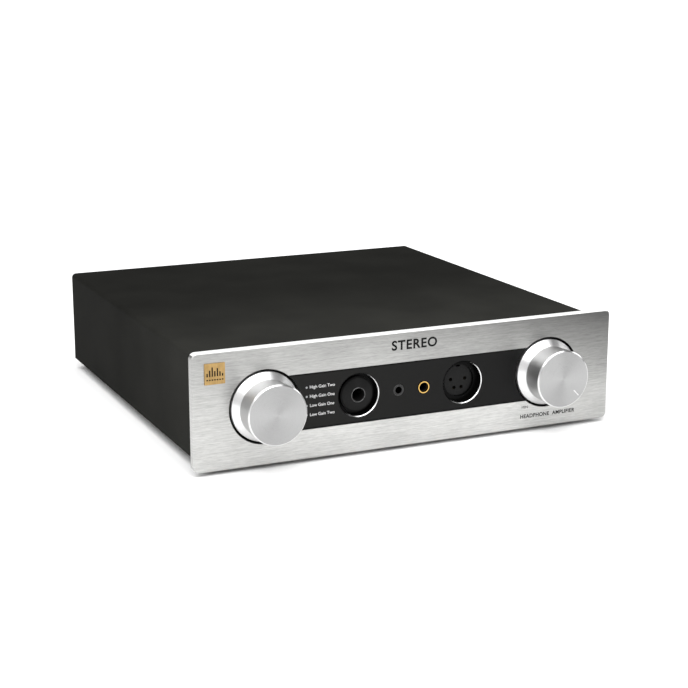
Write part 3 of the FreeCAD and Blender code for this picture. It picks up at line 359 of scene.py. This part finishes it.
def jack_face():
    """Moulded jack nose: a satin face inside a painted dark ring, shade standing in for a deeper
    outer step.
    """
    x, _, z = centre("large_jack")
    finish = Finish("jack nose", grey(0.008), 0.0, 0.34, Specular_IOR_Level=0.08)
    # Painted shade: the outer ring is darkened as if it were a deeper step.
    step = finish.range(finish.reach(x, z), 0.0, 1.0, 7.9 * MM, 8.2 * MM)
    finish.drive("Base Color", finish.blend(step, grey(0.009), grey(0.001)))
    finish.grained(1800, 0.28, 0.42, 0.00002)
    return finish.material


def black_strip():
    """Satin black strip with painted shade, darker toward the right, and a painted shadow
    darkest along top and bottom.
    """
    finish = Finish("satin black strip", grey(0.0085), 0.0, 0.38, Specular_IOR_Level=0.1)
    across, _, up = finish.axes()
    middle = (STRIP_LOW[2] + STRIP_HIGH[2]) / 2
    half = (STRIP_HIGH[2] - STRIP_LOW[2]) / 2
    off = finish.math("ABSOLUTE", finish.math("SUBTRACT", up, middle))
    # Painted shadow: the strip darkens along its top and bottom, as if shaded by its recess.
    edge = finish.range(off, 0.0, 1.0, half - 0.9 * MM, half - 0.5 * MM)
    # Painted shade: the strip darkens toward the right, where the light falls off.
    side = finish.range(across, 0.0, 1.0, -60 * MM, 60 * MM)
    satin = finish.blend(side, (0.0105, 0.0105, 0.01), grey(0.0055))
    finish.drive("Base Color", finish.blend(edge, satin, grey(0.001)))
    finish.grained(2400, 0.32, 0.44, 0.00001)
    return finish.material


FINISHES = {
    "brushed_panel": brushed_aluminium(),
    "black_strip": black_strip(),
    "gilt_badge": satin_gilt(),
    "plated_steel": metal("plated steel", (0.6, 0.6, 0.62), 0.35),
    "screw_steel": metal("blackened steel", (0.06, 0.06, 0.065), 0.35),
    "case_black": powder_black(),
    "foot_rubber": moulded("rubber", grey(0.02), 0.75, 900, 0.0001),
    "bright_steel": metal("bright nickel", (0.72, 0.71, 0.69), 0.2),
    "switch_plastic": moulded("switch plastic", (0.03, 0.03, 0.035)),
    "socket_plastic": moulded("socket plastic", grey(0.009), 0.36, Specular_IOR_Level=0.12),
    "gilt_metal": metal("gilt", (0.72, 0.46, 0.14), 0.2),
    # Near-black socket sleeves and bores: partly their dark plating, partly painted shade
    # keeping the deep recesses dark.
    "socket_metal": moulded("black plating", grey(0.002), 0.3, 1200, 0.00002,
                            Specular_IOR_Level=0.06),
    "light_pipe": moulded("light pipe", (0.36, 0.37, 0.38), 0.2),
    "light_body": moulded("light body", (0.75, 0.75, 0.7), 0.3),
    "circuit_board": solder_mask(),
    "spacer_brass": metal("nickelled brass", (0.7, 0.62, 0.45), 0.3),
    "fuse_glass": moulded("fuse tube", (0.7, 0.75, 0.75), 0.1),
    "rocker_plastic": moulded("rocker plastic", grey(0.012), 0.35),
    "insulator_white": moulded("insulator", (0.75, 0.75, 0.72), 0.35),
    "winding_tape": wound_tape(),
    "capacitor_sleeve": moulded("capacitor sleeve", (0.015, 0.015, 0.05), 0.3),
    "sink_aluminium": metal("black anodised", (0.05, 0.05, 0.052), 0.4),
    "device_plastic": moulded("epoxy", grey(0.02), 0.5),
    "relay_plastic": moulded("relay cover", grey(0.7), 0.3),
}

DARK_NICKEL = metal("dark nickel", grey(0.055), 0.22)
SATIN_LIP = metal("satin lip", grey(0.16), 0.3)
JACK_NOSE = jack_face()
# The panel's top edge: raw cut aluminium, made lighter as a painted highlight.
CUT_EDGE_AND_HIGHLIGHT = moulded("sawn aluminium with painted highlight", (0.78, 0.78, 0.77), 0.5)
INK_BLACK = moulded("black ink", grey(0.006), 0.5, Specular_IOR_Level=0.1)
INK_WHITE = moulded("white ink", grey(0.8), 0.5)


# ---- finishes on the carried-over nodes ------------------------------------------------------


def dress(node, finish):
    """Give a carried-over node one finish on all its faces."""
    mesh = NODES[node].data
    mesh.materials.clear()
    mesh.materials.append(finish)


EDGE_BAND = 1.5 * MM
EDGE_FACING = 0.6


def dress_panel():
    """The brushed face, with a bright sawn edge on top, partly the raw cut and partly a painted
    highlight.
    """
    mesh = NODES["front_panel"].data
    dress("front_panel", FINISHES["brushed_panel"])
    mesh.materials.append(CUT_EDGE_AND_HIGHLIGHT)
    for face in mesh.polygons:
        if face.center.z > PANEL_HIGH[2] - EDGE_BAND and face.normal.z > EDGE_FACING:
            face.material_index = 1


RIM_FACING = -0.5


def dress_rims():
    """Near-black bores, partly painted shade, with bright front lips, one finish about each
    socket.
    """
    mesh = NODES["socket_rims"].data
    dress("socket_rims", FINISHES["socket_metal"])
    mesh.materials.append(rolled_rim("large_jack"))
    mesh.materials.append(rolled_rim("front_xlr_insert"))
    for face in mesh.polygons:
        if face.normal.y < RIM_FACING:
            face.material_index = 1 if face.center.x < 0 else 2


# Each surface of a knob, with its tone and roughness, in the order of the material slots.
# Painted light and shade: one turned aluminium in four tones, brightest on the cut edge and
# skirt, the cap darkest.
KNOB_PARTS = (("spun barrel", 0.64, 0.34), ("spun cap", 0.38, 0.3), ("cut edge", 0.75, 0.3),
              ("flared skirt", 0.92, 0.38))
CAP, CUT, SKIRT = 1, 2, 3
CAP_FACING, CUT_FACING, SKIRT_FACING = -0.97, -0.45, -0.1
EDGE_DEPTH = 0.8 * MM
SKIRT_REACH = 14.4 * MM


def dress_knob(node):
    """A spun cap, a thin cut round it with a painted highlight, a satin barrel and a flared
    skirt with a painted highlight.
    """
    x, _, z = centre(node)
    cap_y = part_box(node)[0][1]
    mesh = NODES[node].data
    mesh.materials.clear()
    for part, tone, roughness in KNOB_PARTS:
        mesh.materials.append(spun_aluminium(f"{part} {node}", node, tone, roughness))
    for face in mesh.polygons:
        facing = face.normal.y
        reach = math.hypot(face.center.x - x, face.center.z - z)
        if face.center.y < cap_y + EDGE_DEPTH and facing < CUT_FACING:
            face.material_index = CAP if facing < CAP_FACING else CUT
        elif reach > SKIRT_REACH and facing < SKIRT_FACING:
            face.material_index = SKIRT


def dress_all():
    for entry in frame["record"]["subparts"]:
        name, slot = entry["node"], entry["material_slot"]
        if slot == "knob_metal":
            dress_knob(name)
        elif slot == "bright_rim":
            dress_rims()
        else:
            dress(name, FINISHES[slot])
    dress_panel()
    # Painted shade: the bracket seen through the socket gaps takes the near-black plating, so
    # the gaps read dark.
    dress("front_bracket", FINISHES["socket_metal"])
    dress("large_jack", JACK_NOSE)
    dress("small_jack", DARK_NICKEL)


dress_all()


# ---- small modelling helpers ---------------------------------------------------------------


def deselect():
    bpy.ops.object.select_all(action="DESELECT")


def edit_all():
    """Edit the active mesh with everything in it selected."""
    bpy.ops.object.mode_set(mode="EDIT")
    bpy.ops.mesh.select_all(action="SELECT")


def named(name):
    """Name the object just added."""
    piece = bpy.context.object
    piece.name = name
    return piece


def settle(piece):
    """Put the piece's place into its mesh, leaving the object at the origin."""
    piece.data.transform(piece.matrix_world)
    piece.matrix_world = Matrix.Identity(4)
    piece.select_set(False)
    return piece


def finish_piece(piece, finish, body=CASE):
    piece.data.materials.clear()
    piece.data.materials.append(finish)
    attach(piece, body)
    return piece


def soft_block(name, place, size, edge, turn=0.0, pivot=None):
    """A block with softened edges; turn is about +Y, in degrees, round the pivot."""
    deselect()
    bpy.ops.mesh.primitive_cube_add(size=1, location=place)
    piece = named(name)
    edit_all()
    bpy.ops.transform.resize(value=size)
    bpy.ops.mesh.bevel(offset=edge, segments=2, affect="EDGES")
    bpy.ops.object.mode_set(mode="OBJECT")
    settle(piece)
    if turn:
        pivot = Vector(pivot)
        move = Matrix.Translation(pivot) @ Matrix.Rotation(math.radians(turn), 4, "Y")
        piece.data.transform(move @ Matrix.Translation(-pivot))
    bpy.ops.object.shade_smooth_by_angle(angle=math.radians(30))
    return piece


RING_SIDES, RING_STEPS = 12, 72
WELD = 0.00001


def spun_ring(name, node, y, radius, section):
    """A ring of round section about the Y axis through a node's middle."""
    x, _, z = centre(node)
    deselect()
    bpy.ops.mesh.primitive_circle_add(vertices=RING_SIDES, radius=section,
                                      location=(x + radius, y, z))
    piece = named(name)
    edit_all()
    bpy.ops.mesh.spin(steps=RING_STEPS, angle=2 * math.pi, center=(x, y, z), axis=(0, 1, 0))
    bpy.ops.mesh.select_all(action="SELECT")
    bpy.ops.mesh.remove_doubles(threshold=WELD)
    bpy.ops.mesh.normals_make_consistent(inside=False)
    bpy.ops.object.mode_set(mode="OBJECT")
    settle(piece)
    deselect()
    piece.select_set(True)
    bpy.ops.object.shade_smooth()
    piece.select_set(False)
    return piece


def join_pieces(name, pieces):
    deselect()
    for piece in pieces:
        piece.select_set(True)
    bpy.context.view_layer.objects.active = pieces[0]
    bpy.ops.object.join()
    joined = named(name)
    joined.select_set(False)
    return joined


# ---- lettering and marks -------------------------------------------------------------------


INK_DEPTH = 0.03 * MM


def letters(name, text, x, z, y, size, ink, align="CENTER", weight=0.0, spread=1.0, back=False,
            body=CASE):
    """Flat printed lettering on a front or rear face, its middle line at z."""
    deselect()
    bpy.ops.object.text_add(location=(0, 0, 0))
    words = named(name).data
    words.body = text
    words.size = size
    words.align_x = align
    words.align_y = "CENTER"
    words.extrude = INK_DEPTH / 2
    words.offset = weight
    words.space_character = spread
    bpy.ops.object.convert(target="MESH")
    piece = bpy.context.object
    turn = Matrix.Rotation(math.radians(90), 4, "X")
    if back:
        turn = Matrix.Rotation(math.radians(180), 4, "Z") @ turn
    piece.data.transform(Matrix.Translation((x, y, z)) @ turn)
    return finish_piece(piece, ink, body)


TITLE_UP, KIND_UP, SCALE_UP = 51.2 * MM, 6.4 * MM, 11.3 * MM
SCALE_REACH = 12.4 * MM
MODES = ("High Gain Two", "High Gain One", "Low Gain One", "Low Gain Two")
MODE_GAP = 1.5 * MM
MODE_SIZE = 2.15 * MM


def panel_words():
    """Black words on the brushed panel, their heights measured from its foot."""
    volume_x = centre("volume_knob")[0]
    for name, text, x, up, size, weight, spread in (
            ("title", "STEREO", 1 * MM, TITLE_UP, 6.6, 0.17, 1.12),
            ("kind", "HEADPHONE  AMPLIFIER", volume_x + 1.2 * MM, KIND_UP, 2.75, 0.07, 1.08),
            ("min", "MIN", volume_x - SCALE_REACH, SCALE_UP, 2.1, 0, 1),
            ("max", "MAX", volume_x + SCALE_REACH, SCALE_UP, 2.1, 0, 1)):
        letters(f"{name}_lettering", text, x, PANEL_LOW[2] + up, FACE_Y - INK_DEPTH, size * MM,
                INK_BLACK, weight=weight * MM, spread=spread)


def mode_words():
    """White words on the strip, one beside each mode light."""
    low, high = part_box("light_pipes")
    radius = (high[0] - low[0]) / 2
    top, bottom = high[2] - radius, low[2] + radius
    pitch = (top - bottom) / (len(MODES) - 1)
    start = centre("light_pipes")[0] + MODE_GAP
    for row, text in enumerate(MODES):
        letters(f"mode_label_{row + 1}", text, start, top - row * pitch,
                STRIP_Y - INK_DEPTH, MODE_SIZE, INK_WHITE, align="LEFT")


HEADING_DROP = 3.4 * MM
HEADING_SIZE, NUMBER_SIZE, MARK_SIZE, FUSE_SIZE = 2.6 * MM, 2.4 * MM, 2.8 * MM, 1.9 * MM
PHONO_MARK_IN, LINE_MARK_DROP = 5.6 * MM, 3.6 * MM


def rear_lettering():
    """White printed words on the rear panel, all of them plain function names."""
    ink_y = REAR_Y + INK_DEPTH
    top_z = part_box("rear_panel")[1][2] - HEADING_DROP
    shells_low, shells_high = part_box("line_xlr_shells")
    phono_low, phono_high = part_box("phono_shells")
    phono_x = (phono_low[0] + phono_high[0]) / 2
    ports_low, ports_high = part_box("data_ports")
    ports_x, _, ports_z = centre("data_ports")
    inlet_x = centre("mains_inlet")[0]
    inlet_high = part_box("mains_inlet")[1]
    rocker_x = centre("rocker_housing")[0]
    rocker_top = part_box("rocker_housing")[1][2]
    for name, text, x, z, size in (
            ("balanced_out", "BALANCED  OUT", centre("line_xlr_shells")[0], top_z, HEADING_SIZE),
            ("line_out", "LINE  OUT", phono_x, top_z, HEADING_SIZE),
            ("data_in", "DATA  IN", ports_x, ports_z + 9.5 * MM, HEADING_SIZE),
            ("port_one", "1", ports_low[0] + 6 * MM, ports_z - 9 * MM, NUMBER_SIZE),
            ("port_two", "2", ports_high[0] - 4.5 * MM, ports_z - 9 * MM, NUMBER_SIZE),
            ("power", "POWER", rocker_x, rocker_top + 4 * MM, HEADING_SIZE),
            ("mains_in", "AC  INPUT", inlet_x, top_z + 0.6 * MM, HEADING_SIZE)):
        letters(f"{name}_lettering", text, x, z, ink_y, size, INK_WHITE, weight=0.04 * MM,
                spread=1.05, back=True)
    quarter = (shells_high[0] - shells_low[0]) / 4
    line_z = shells_low[2] - LINE_MARK_DROP
    for name, mark, x, z in (("left_phono", "L", phono_x, phono_high[2] - PHONO_MARK_IN),
                             ("right_phono", "R", phono_x, phono_low[2] + PHONO_MARK_IN),
                             ("left_line", "L", shells_high[0] - quarter, line_z),
                             ("right_line", "R", shells_low[0] + quarter, line_z)):
        letters(f"{name}_mark", mark, x, z, ink_y, MARK_SIZE, INK_WHITE, weight=0.06 * MM,
                back=True)
    letters("fuse_lettering", "FUSE", inlet_x, inlet_high[2] - FUSE_SIZE,
            inlet_high[1] + INK_DEPTH, FUSE_SIZE, INK_WHITE, back=True)


ROCKER_MARK_SIZE = 3.4 * MM


def rocker_marks():
    """The line and ring on the two sloping faces of the power rocker."""
    rocker = NODES["power_rocker"].data
    _, _, pivot_z = centre("power_rocker")
    for name, mark, upper in (("on", "I", True), ("off", "O", False)):
        faces = [face for face in rocker.polygons
                 if face.normal.y > 0.5 and (face.center.z > pivot_z) == upper]
        face = max(faces, key=lambda entry: entry.area)
        piece = letters(f"rocker_mark_{name}", mark, 0, 0, 0, ROCKER_MARK_SIZE, INK_WHITE,
                        weight=0.06 * MM, back=True, body="power_rocker")
        corners = [rocker.vertices[index].co for index in face.vertices]
        middle = sum(corners, Vector()) / len(corners)
        tilt = Vector((0, 1, 0)).rotation_difference(face.normal).to_matrix().to_4x4()
        lift = Matrix.Translation(middle + face.normal * INK_DEPTH)
        piece.data.transform(lift @ tilt)


def pan_screw(name, x, y, z, radius, height):
    """A domed screw head facing +Y with a six-sided recess."""
    deselect()
    bpy.ops.mesh.primitive_cylinder_add(vertices=32, radius=radius, depth=height)
    head = named(name)
    edit_all()
    bpy.ops.mesh.bevel(offset=height * 0.35, segments=3, affect="EDGES", clamp_overlap=True)
    bpy.ops.object.mode_set(mode="OBJECT")
    settle(head)
    deselect()
    bpy.ops.mesh.primitive_cylinder_add(vertices=6, radius=radius * 0.5, depth=height,
                                        location=(0, 0, height * 0.6))
    recess = settle(bpy.context.object)
    cutter = head.modifiers.new("recess", "BOOLEAN")
    cutter.operation = "DIFFERENCE"
    cutter.object = recess
    deselect()
    bpy.context.view_layer.objects.active = head
    head.select_set(True)
    bpy.ops.object.modifier_apply(modifier="recess")
    bpy.ops.object.shade_smooth_by_angle(angle=math.radians(35))
    head.select_set(False)
    bpy.data.objects.remove(recess)
    face_back = Matrix.Rotation(math.radians(-90), 4, "X")
    head.data.transform(Matrix.Translation((x, y + height / 2, z)) @ face_back)
    return head


FLANGE_WIDTH, SCREW_INSET = 26 * MM, 3 * MM
SCREW_RADIUS, SCREW_HEIGHT = 1.7 * MM, 0.9 * MM


def line_flange_screws():
    """Two small screws at opposite corners of each line output's flange."""
    low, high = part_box("line_xlr_shells")
    heads = []
    for start in (low[0], high[0] - FLANGE_WIDTH):
        end = start + FLANGE_WIDTH
        for x, z in ((start + SCREW_INSET, high[2] - SCREW_INSET),
                     (end - SCREW_INSET, low[2] + SCREW_INSET)):
            heads.append(pan_screw("head", x, high[1], z, SCREW_RADIUS, SCREW_HEIGHT))
    finish_piece(join_pieces("line_flange_screws", heads), FINISHES["screw_steel"])


# The meter's sizes are shares of the badge's width.
BAR_HEIGHTS = (0.16, 0.3, 0.44, 0.26, 0.38, 0.22, 0.12)
BAR_PITCH, BAR_FOOT = 0.125, -0.12
TICK_HEIGHT, TICK_UP = 0.06, -0.28


def badge_symbol():
    """A plain level meter on the gilt badge: upright bars over a row of short ticks."""
    low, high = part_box("front_badge")
    width = high[0] - low[0]
    x, _, z = centre("front_badge")
    y = low[1] - INK_DEPTH
    pitch = width * BAR_PITCH
    bars = []
    for step, share in enumerate(BAR_HEIGHTS):
        across = x + (step - (len(BAR_HEIGHTS) - 1) / 2) * pitch
        rise = share * width
        bars.append(soft_block("bar", (across, y, z + BAR_FOOT * width + rise / 2),
                               (pitch * 0.5, INK_DEPTH * 2, rise), INK_DEPTH * 0.4))
        bars.append(soft_block("tick", (across, y, z + TICK_UP * width),
                               (pitch * 0.6, INK_DEPTH * 2, width * TICK_HEIGHT),
                               INK_DEPTH * 0.4))
    finish_piece(join_pieces("badge_symbol", bars), INK_BLACK)


POINTER_INNER, POINTER_OUTER = 8.9 * MM, 13.2 * MM
POINTER_WIDTH, POINTER_DEPTH, POINTER_SINK = 0.54 * MM, 0.24 * MM, 0.04 * MM
POINTER_CLEARANCE = 0.1 * MM
POINTER_TURN = 135


def pointer_fill():
    """White paint in the groove that marks the volume knob's setting."""
    x, _, z = centre("volume_knob")
    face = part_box("volume_knob")[0][1]
    fill = soft_block("pointer_fill",
                      (x, face + POINTER_DEPTH / 2 + POINTER_SINK,
                       z + (POINTER_INNER + POINTER_OUTER) / 2),
                      (POINTER_WIDTH, POINTER_DEPTH,
                       POINTER_OUTER - POINTER_INNER - POINTER_CLEARANCE), 0.05 * MM,
                      turn=POINTER_TURN, pivot=(x, face, z))
    finish_piece(fill, INK_WHITE, "volume_control")


LIP_SECTION = 0.16 * MM


def socket_lips():
    """Thin rolled lips round the bores of the two plain jacks."""
    for node, radius, finish, slot in (("large_jack", 3.55 * MM, SATIN_LIP, "socket_plastic"),
                                       ("small_jack", 2.2 * MM, DARK_NICKEL, "bright_steel")):
        lip = spun_ring(f"{node}_lip", node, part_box(node)[0][1], radius, LIP_SECTION)
        finish_piece(lip, finish)


panel_words()
mode_words()
rear_lettering()
rocker_marks()
line_flange_screws()
badge_symbol()
pointer_fill()
socket_lips()


# ---- studio --------------------------------------------------------------------------------


def hang(name, light, turn, place=(0, 0, 0)):
    """Put a light in the scene."""
    lamp = bpy.data.objects.new(name, light)
    bpy.context.scene.collection.objects.link(lamp)
    lamp.matrix_world = Matrix.Translation(place) @ turn.to_matrix().to_4x4()


def softbox(name, place, target, width, height, power):
    light = bpy.data.lights.new(name, "AREA")
    light.shape = "RECTANGLE"
    light.size = width
    light.size_y = height
    light.energy = power
    aim = Vector(target) - Vector(place)
    hang(name, light, aim.to_track_quat("-Z", "Y"), place)


SUN_STRENGTH = 3.9
SUN_SPREAD = 85
SUN_LEAN = (-0.2, -0.2, 1)


def overcast():
    """A very wide soft sun: it lights the whole floor alike, with only soft shadows."""
    light = bpy.data.lights.new("overcast", "SUN")
    light.energy = SUN_STRENGTH
    light.angle = math.radians(SUN_SPREAD)
    hang("overcast", light, Vector(SUN_LEAN).to_track_quat("Z", "Y"))


# Each softbox: its name, where it hangs, what it faces, its width and height, and its watts.
SOFTBOXES = (
    ("front_softbox", (-0.15, -0.75, 0.7), (0, FACE_Y, 0), 0.5, 0.35, 2.2),
    ("left_softbox", (-1.0, -0.55, 0.5), (-0.05, FACE_Y, 0.03), 0.6, 0.9, 1.6),
    ("right_softbox", (0.4, -1.0, 0.36), (0, FACE_Y, 0.03), 0.35, 0.25, 0.9),
    ("side_softbox", (0.95, -0.05, 0.4), (0.05, FACE_Y, 0.03), 0.5, 0.4, 1.6),
)
FLOOR_SIZE = 60
ROOM_LIGHT = 0.22
BACKDROP_WHITE = 1.1


def pale_floor():
    deselect()
    bpy.ops.mesh.primitive_plane_add(size=FLOOR_SIZE, location=(0, 0, 0))
    floor = named("studio_floor")
    paper = Finish("pale paper", grey(0.92), 0.0, 0.9, Specular_IOR_Level=0.1)
    floor.data.materials.append(paper.material)


def dim_room():
    """An even room that lights the object dimly and looks white behind it."""
    world = bpy.data.worlds.new("studio")
    world.use_nodes = True
    tree = world.node_tree
    background = tree.nodes["Background"]
    background.inputs["Color"].default_value = (1, 1, 1, 1)
    seen = tree.nodes.new("ShaderNodeLightPath").outputs["Is Camera Ray"]
    level = tree.nodes.new("ShaderNodeMapRange")
    level.inputs["To Min"].default_value = ROOM_LIGHT
    level.inputs["To Max"].default_value = BACKDROP_WHITE
    tree.links.new(seen, level.inputs["Value"])
    tree.links.new(level.outputs["Result"], background.inputs["Strength"])
    bpy.context.scene.world = world


def studio():
    """A pale floor, a dim room, a wide soft sun and four softboxes."""
    pale_floor()
    dim_room()
    overcast()
    for box in SOFTBOXES:
        softbox(*box)
    bpy.context.scene.view_settings.view_transform = "Standard"


CAMERA_YAW, CAMERA_PITCH = math.radians(-24.48), math.radians(13.93)
CAMERA_PLACE = (-342.3 * MM, -670.6 * MM + FACE_Y, 237.9 * MM + PANEL_LOW[2])
LENS, SENSOR = 82.9, 36
CLIP_START = 0.01


def camera():
    """Long lens, in front and to the left, a little above the case."""
    back = Vector((math.sin(CAMERA_YAW) * math.cos(CAMERA_PITCH),
                   -math.cos(CAMERA_YAW) * math.cos(CAMERA_PITCH), math.sin(CAMERA_PITCH)))
    right = Vector((math.cos(CAMERA_YAW), math.sin(CAMERA_YAW), 0))
    up = back.cross(right)
    data = bpy.data.cameras.new("studio_camera")
    data.lens = LENS
    data.sensor_width = SENSOR
    data.clip_start = CLIP_START
    eye = bpy.data.objects.new("studio_camera", data)
    bpy.context.scene.collection.objects.link(eye)
    turn = Matrix((right, up, back)).transposed().to_4x4()
    eye.matrix_world = Matrix.Translation(CAMERA_PLACE) @ turn
    bpy.context.scene.camera = eye


studio()
camera()
